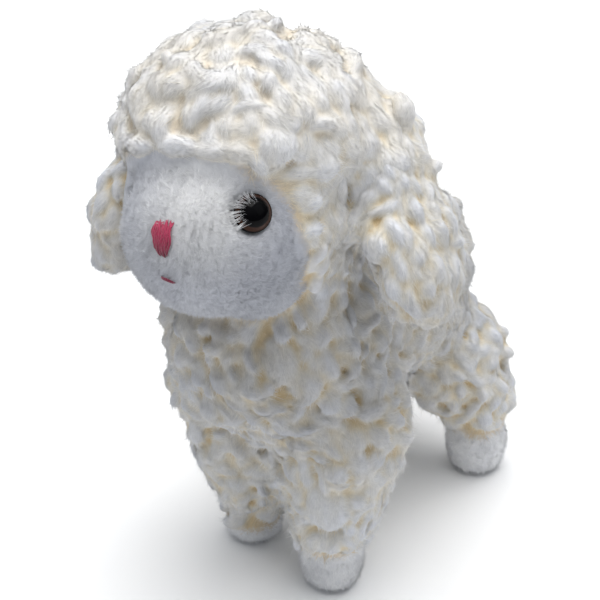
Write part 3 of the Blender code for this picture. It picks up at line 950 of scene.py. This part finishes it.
def stitches(name, skin, place, runs, radius, rise):
    """Threads laid on the face: each run is a list of (across, up) points of one stitch."""
    inward = (place.to_3x3() @ Vector((0, 1, 0))).normalized()
    verts, faces, strand = [], [], []
    for run in runs:
        steps = len(run)
        bow = [math.sin(math.pi * index / (steps - 1)) for index in range(steps)]
        centres = []
        for (across, up), share in zip(run, bow):
            hit, normal, _, _ = skin.tree.ray_cast(place @ Vector((across, -30 * MM, up)), inward)
            centres.append(hit + normal * (rise * share**0.5 - THREAD_SUNK))
        for index, centre in enumerate(centres):
            ahead = centres[min(index + 1, steps - 1)] - centres[max(index - 1, 0)]
            side = ahead.cross(-inward).normalized()
            top = side.cross(ahead).normalized()
            girth = radius * (0.55 + 0.45 * bow[index] ** 0.4)
            for turn in range(THREAD_SIDES):
                angle = turn / THREAD_SIDES * 2 * math.pi
                verts.append(centre + side * math.cos(angle) * girth + top * math.sin(angle) * girth)
                strand.append((turn / THREAD_SIDES * 3 + len(faces), index * 0.7))
        first = len(verts) - steps * THREAD_SIDES
        quads, _, root = tube_faces(steps, THREAD_SIDES)
        tip = range((steps - 1) * THREAD_SIDES, steps * THREAD_SIDES)
        faces += [[first + corner for corner in face] for face in [*quads, *root, tip]]
    mesh = bpy.data.meshes.new(name)
    mesh.from_pydata(verts, [], faces)
    set_uv(mesh, "strand", np.array(strand)[read(mesh.loops, "vertex_index", kind=np.int32)])
    mesh.shade_smooth()
    return new_object(name, mesh)


def make_nose(skin, rng):
    """Satin stitch: upright wavy threads side by side, drawn together at the foot, over a sunk layer."""
    runs = []
    for threads, waver, sunk in NOSE_LAYERS:
        for index in range(threads):
            side = 2 * index / (threads - 1) - 1
            across = side / 2 * (NOSE_WIDTH - (1 + sunk) * MM)
            top = NOSE_HEIGHT / 2 + (rng.uniform(-0.9, 0.3) - sunk) * MM
            # The foot is rounder on the toy's right.
            round_off = 1 - (0.34 if side < 0 else 0.12) * side**2
            foot = -NOSE_HEIGHT / 2 * round_off + rng.uniform(-0.4, 0.4) * MM
            phase, lean = rng.uniform(0, 6.3), rng.uniform(-0.4, 0.4) * MM
            run = []
            for step in range(NOSE_STEPS):
                share = step / (NOSE_STEPS - 1)
                width = 1 + (NOSE_TAPER - 1) * float(eased((share - 0.35) / 0.65))
                wave = waver * math.sin(phase + share * 9) * MM
                run.append((across * width + lean * share + wave, top + (foot + sunk * MM - top) * share))
            runs.append(run)
    return stitches("nose_stitches", skin, place_of("nose"), runs, 0.46 * MM, 1.5 * MM)


def make_mouth(skin):
    """A short stitch of two threads, lying across and slanting down."""
    runs = []
    for level in (0.2, -0.2):
        run = []
        for step in range(MOUTH_STEPS):
            share = step / (MOUTH_STEPS - 1) - 0.5
            bow = (level + 0.8) * (1 - (2 * share) ** 2)
            run.append((share * MOUTH_WIDTH, bow * MM - share * 1.5 * MM))
        runs.append(run)
    return stitches("mouth_stitch", skin, place_of("mouth"), runs, 0.36 * MM, 1.2 * MM)


# ---- camera, light and floor ----

CAMERA_AZIMUTH = math.radians(38.7)
CAMERA_ELEVATION = math.radians(33.3)
CAMERA_ROLL = math.radians(-1.7)
CAMERA_DISTANCE = 0.6378
CAMERA_TARGET = Vector((-29.4, 19.1, 80.5)) * MM
CAMERA_LENS = 97.3
# The sky dome's light by height, from the horizon to overhead.
DOME = [
    (0.0, (0.14, 0.15, 0.165)),
    (0.35, (0.27, 0.29, 0.315)),
    (0.75, (0.82, 0.86, 0.90)),
    (1.0, (0.97, 1.0, 1.03)),
]
DOME_STRENGTH = 0.67


def make_camera():
    camera = bpy.data.cameras.new("camera")
    camera.sensor_width = 36.0
    camera.lens = CAMERA_LENS
    camera.clip_start = 0.01
    level = math.cos(CAMERA_ELEVATION)
    back = (math.sin(CAMERA_AZIMUTH) * level, -math.cos(CAMERA_AZIMUTH) * level, math.sin(CAMERA_ELEVATION))
    back = Vector(back)
    obj = new_object("camera", camera)
    obj.location = CAMERA_TARGET + back * CAMERA_DISTANCE
    obj.rotation_mode = "QUATERNION"
    obj.rotation_quaternion = (-back).to_track_quat("-Z", "Y") @ Quaternion((0, 0, 1), CAMERA_ROLL)
    bpy.context.scene.camera = obj


def add_light(name, place, size, energy, colour):
    light = bpy.data.lights.new(name, "AREA")
    light.size = size
    light.energy = energy
    light.color = colour
    obj = new_object(name, light)
    obj.location = place
    aim = Vector((0, 0, 0.1)) - Vector(place)
    obj.rotation_euler = aim.to_track_quat("-Z", "Y").to_euler()


def make_studio():
    """A pale floor under a soft sky, with one large lamp over the toy and a faint one beside it."""
    bm = bmesh.new()
    bmesh.ops.create_grid(bm, x_segments=2, y_segments=2, size=3.0)
    floor = object_from(bm, "floor")
    floor.data.materials.append(floor_material())
    add_light("top", (-0.1, 0.5, 4.0), 4.0, 238.0, (1.0, 0.995, 0.985))
    add_light("side", (1.6, 0.4, 1.4), 1.4, 2.0, (0.96, 0.98, 1.0))
    world = bpy.data.worlds.new("studio")
    bpy.context.scene.world = world
    world.use_nodes = True
    tree = world.node_tree
    background = tree.nodes["Background"]
    height = through(tree, add_node(tree, "TexCoord").outputs["Generated"], "SeparateXYZ", "Z")
    tree.links.new(add_ramp(tree, height, DOME), background.inputs["Color"])
    background.inputs["Strength"].default_value = DOME_STRENGTH
    bpy.context.scene.view_settings.view_transform = "Standard"


# ---- putting it together ----


def clear_of(points, place, reach_x, reach_z):
    """Which points lie outside an oval patch of the face round this place."""
    inverse = np.array(place.inverted())
    local = points @ inverse[:3, :3].T + inverse[:3, 3]
    return (local[:, 0] / reach_x) ** 2 + (local[:, 2] / reach_z) ** 2 > 1


def finish_piece(obj, material, *nodes):
    """Gives the piece its only material, puts it in place of these solids and fixes it to the part."""
    obj.data.materials.append(material)
    if nodes:
        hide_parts(*nodes)
    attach(obj, "root")


def big_locks(skin, rng):
    """The single big locks, each with its node, and the places along them that others keep clear of."""
    grown, taken = [], []
    for node, rows in BIG_LOCKS.items():
        roots, tips, width, thick, over = (np.array(column) for column in zip(*rows))
        tips = tips * MM
        roots, normals, _ = skin.nearest(roots * MM)
        lies = along_surface(tips - roots, normals)
        length = np.linalg.norm(tips - roots, axis=1) / MM
        size = dict(length=length, width=width, thick=thick, sway=0.06, under=0)
        grown.append((node, Locks(skin, roots, normals, lies, size, rng, vary=0.0, over=over)))
        reach = width * 0.2 if node.startswith("ear") else width * 0.45 + 0.5
        for share in (0.3, 0.6, 0.9):
            taken += zip(roots + (tips - roots) * share, reach * MM)
    return grown, taken


def grow_locks(skin, region):
    """Every lock of the fleece, node by node: pairs of a node and its locks."""
    eyes = [np.array(middle_of(node)) for node in EYES]
    grown, taken = big_locks(skin, np.random.default_rng(SEED + 30))
    for index, name in enumerate(FLEECE_NODES):
        rng = np.random.default_rng(SEED + index)
        size = dict(zip(LOCK_TRAITS, LOCKS[name.split("_")[0]]))
        length = size["length"] * MM
        roots, normals = skin.scatter_apart(rng, (skin.cover < 0.5) & (region == index), size["spacing"] * MM)
        lies = lie_of(name, roots, normals)
        lies = ruffled(lies, roots, normals, rng, size["swirl"], size["scatter"])
        middle = roots + lies * length * 0.5
        keep = np.all([np.linalg.norm(middle - eye, axis=1) > EYE_CLEARANCE for eye in eyes], axis=0)
        keep &= skin.pile_at(roots + lies * length * OVERHANG) < 0.5
        # No tip hangs over the middle or the far edge of the face, nor over a foot.
        hanging = skin.pile_at(roots + lies * length * 0.95) > 0.5
        turned = from_face(roots) / MM
        bare = (turned[:, 2] > 10) & (turned[:, 0] < 14) | (turned[:, 0] < -16)
        keep &= ~(hanging & (bare if name == "head" else roots[:, 2] < FEET_TOP))
        upper = rng.random(len(roots)) < 0.5
        for place, reach in taken:
            keep &= ~upper | (np.linalg.norm(middle - place, axis=1) > reach)
        places = (roots[keep], normals[keep], lies[keep])
        grown.append((name, Locks(skin, *places, size, rng, upper=upper[keep])))
    return grown


def felted(name, solids, skin):
    """These solids run together into one soft surface.

    Its "stand" is LEVEL_STAND and more on a ridge and less in a crevice; its "pile" is 1 where it is bare.
    """
    felt = new_object(name, mesh_of(name, solids)[0])
    for closing in (FELT_CLOSING, -FELT_CLOSING):
        add_modifier(felt, "REMESH", mode="VOXEL", voxel_size=FELT_VOXEL)
        add_modifier(felt, "DISPLACE", strength=closing, mid_level=0)
        if closing < 0:
            add_modifier(felt, "SMOOTH", factor=0.5, iterations=FELT_PASSES)
        felt = baked(felt, name)
    felt.name = name
    mesh = felt.data
    points = points_of(mesh)
    place, normal, face = skin.nearest(points)
    height = ((points - place) * normal).sum(axis=1)
    relief = (height - smoothed_over(mesh, height, LEVEL_PASSES)) / RELIEF
    stand = np.minimum(LEVEL_STAND + relief, height / (0.6 * FLEECE_DEPTH))
    set_value(mesh, "stand", np.clip(stand, -0.1, 1.2))
    bare = 1 - eased((height - 0.5 * MM) / (0.6 * MM))
    set_value(mesh, "pile", skin.cover[face] * bare)
    mesh.shade_smooth()
    return felt


def bake_by_roots(obj, skin):
    """Gives each face of a felted piece a patch of the skin's unwrap, at the place under it."""
    mesh = obj.data
    corners = read(mesh.loops, "vertex_index", kind=np.int32)
    starts = read(mesh.polygons, "loop_start", kind=np.int32)
    sizes = read(mesh.polygons, "loop_total", kind=np.int32)
    home = np.repeat(np.arange(len(sizes)), sizes)
    middles = np.zeros((len(sizes), 3))
    np.add.at(middles, home, points_of(mesh)[corners])
    under = skin.uvs[skin.nearest(middles / sizes[:, None])[2]].mean(axis=1)
    turn = (np.arange(len(corners)) - np.repeat(starts, sizes)) / sizes[home] * 2 * np.pi
    spread = np.stack([np.cos(turn), np.sin(turn)], axis=1) * BAKE_PATCH / 2
    set_uv(mesh, "OFBake", under[home] + spread)


def make_bodies(skin, locks):
    """The felted body with its cloth, and the locks of each ear by themselves, which lie over it."""
    ears = list(dict.fromkeys(name for name, _ in locks if name.startswith("ear")))
    solids = [(skin.points, [skin.triangles])]
    solids += [group.solids() for name, group in locks if name not in ears]
    bodies = [felted("lamb_skin", solids, skin)]
    for ear in ears:
        bodies.append(felted("locks_" + ear, [group.solids() for name, group in locks if name == ear], skin))
        bake_by_roots(bodies[-1], skin)
    return bodies


def make_fibres(skin, bodies, region, locks):
    """Loose fibres all over the fleece, laid along the locks, in one piece for each part of the body."""
    material = fleece_material()
    rng = np.random.default_rng(SEED + 40)
    found = []
    for body in bodies:
        surface = Skin(body)
        found.append(surface.scatter(rng, surface.cover < 0.6, FIBRES_PER_MM2))
    feet, normals, _, stand = (np.concatenate(parts) for parts in zip(*found))
    combed = np.concatenate([group.centre.reshape(-1, 3) for _, group in locks])
    ways = np.concatenate([group.tangent.reshape(-1, 3) for _, group in locks])
    tree = search_tree(combed, range(len(combed)))
    lies = along_surface(ways[[tree.find(Vector(point))[1] for point in feet]], normals)
    _, out, face = skin.nearest(feet)
    outer = (normals * out).sum(axis=1) > -0.3
    uvs = skin.uvs[face].mean(axis=1)
    home = region[face]
    back = feet[:, 1] > np.median(feet[home == NODES.index("trunk"), 1])
    left = feet[:, 0] > 0
    parts = {
        "trunk": {
            "_front_left": left & ~back,
            "_front_right": ~left & ~back,
            "_rear_left": left & back,
            "_rear_right": ~left & back,
        },
        "head": {"_left": left, "_right": ~left},
    }
    for index, name in enumerate(FLEECE_NODES):
        for part, chosen in parts.get(name, {"": outer}).items():
            mine = chosen & outer & (home == index)
            bundle = fibres(feet[mine], normals[mine], lies[mine], uvs[mine], stand[mine], rng)
            finish_piece(joined_piece("fleece_" + name + part, [bundle]), material)


# How many wisps lean over each eye.
OVER_EYE_COUNT = 420
# Ovals of the face that bear no pile, round its features: half their width and height.
BARE_OVALS = {
    "nose": (2.5 * MM, 4.8 * MM),
    "mouth": (2.0 * MM, 0.6 * MM),
    "eye_left": (5.2 * MM, 5.2 * MM),
    "eye_right": (5.2 * MM, 5.2 * MM),
}


def over_eye(skin, node, rng):
    """Pile that leans over the side of an eye next to the nose."""
    count = OVER_EYE_COUNT
    side = 1 if node == "eye_left" else -1
    place = place_of(node)
    angle = np.radians(rng.uniform(88, 225, count))
    out = np.array(place.to_3x3() @ Vector((0, -1, 0)))
    ways = np.array([place.to_3x3() @ Vector((math.cos(a) * side, 0, math.sin(a))) for a in angle])
    feet = np.array(place.translation) + ways * (rng.uniform(4.2, 7.0, count) * MM)[:, None]
    feet, _, face = skin.nearest(feet)
    aims = strayed(out * rng.uniform(0.55, 1.2, count)[:, None] - ways, 0.16, rng)
    reach = rng.uniform(3.4, 6.2, count) * MM
    shading = strayed(np.tile(out, (count, 1)), 0.25, rng)
    uvs = skin.uvs[face].mean(axis=1)
    return spikes(feet, aims, shading, reach, PILE_WIDTH * 0.55, uvs, rng.uniform(0.5, 1, count), rng)


def make_pile(skin, region):
    """Short pile on the face, brushed away from the nose, and on the feet, brushed down."""
    material = pile_material()
    for name in PILE_NODES:
        index = NODES.index(name)
        rng = np.random.default_rng(SEED + 50 + index)
        chosen = (skin.cover > 0.4) & (region == index)
        roots, normals, uvs, _ = skin.scatter(rng, chosen, PILE_PER_MM2)
        if name == "face":
            for node, reach in BARE_OVALS.items():
                keep = clear_of(roots, place_of(node), *reach)
                roots, normals, uvs = roots[keep], normals[keep], uvs[keep]
            lies = along_surface(roots - np.array(middle_of("nose")) + [0, 0, -2 * MM], normals)
        else:
            lies = along_surface(np.tile([0, 0, -1.0], (len(roots), 1)) + normals * 0.2, normals)
        lies = ruffled(lies, roots, normals, rng, 1.3, 0.5)
        bundles = [short_pile(roots, normals, uvs, lies, rng)]
        if name == "face":
            bundles += [over_eye(skin, node, rng) for node in EYES]
        finish_piece(joined_piece("pile_" + name, bundles), material)


def make_features(skin):
    """The eyes, the nose and the mouth, each in place of its solid."""
    plastic = eye_material()
    for node in EYES:
        finish_piece(make_eye(node), plastic, node)
    thread = thread_material()
    finish_piece(make_nose(skin, np.random.default_rng(SEED + 90)), thread, "nose")
    finish_piece(make_mouth(skin), thread, "mouth")


def main():
    make_camera()
    cloth = make_skin()
    unwrap(cloth)
    skin = Skin(cloth)
    region = home_of(skin.points[skin.triangles].mean(axis=1))
    hem = (skin.cover < 0.5) & (region == NODES.index("foot_front_right"))
    region[hem] = NODES.index("leg_front_right")
    locks = grow_locks(skin, region)
    bodies = make_bodies(skin, locks)
    ground = skin_material()
    finish_piece(bodies[0], ground, *NODES)
    for body in bodies[1:]:
        finish_piece(body, ground)
    make_fibres(skin, bodies, region, locks)
    bpy.data.objects.remove(cloth)
    make_pile(skin, region)
    make_features(skin)
    make_studio()


main()
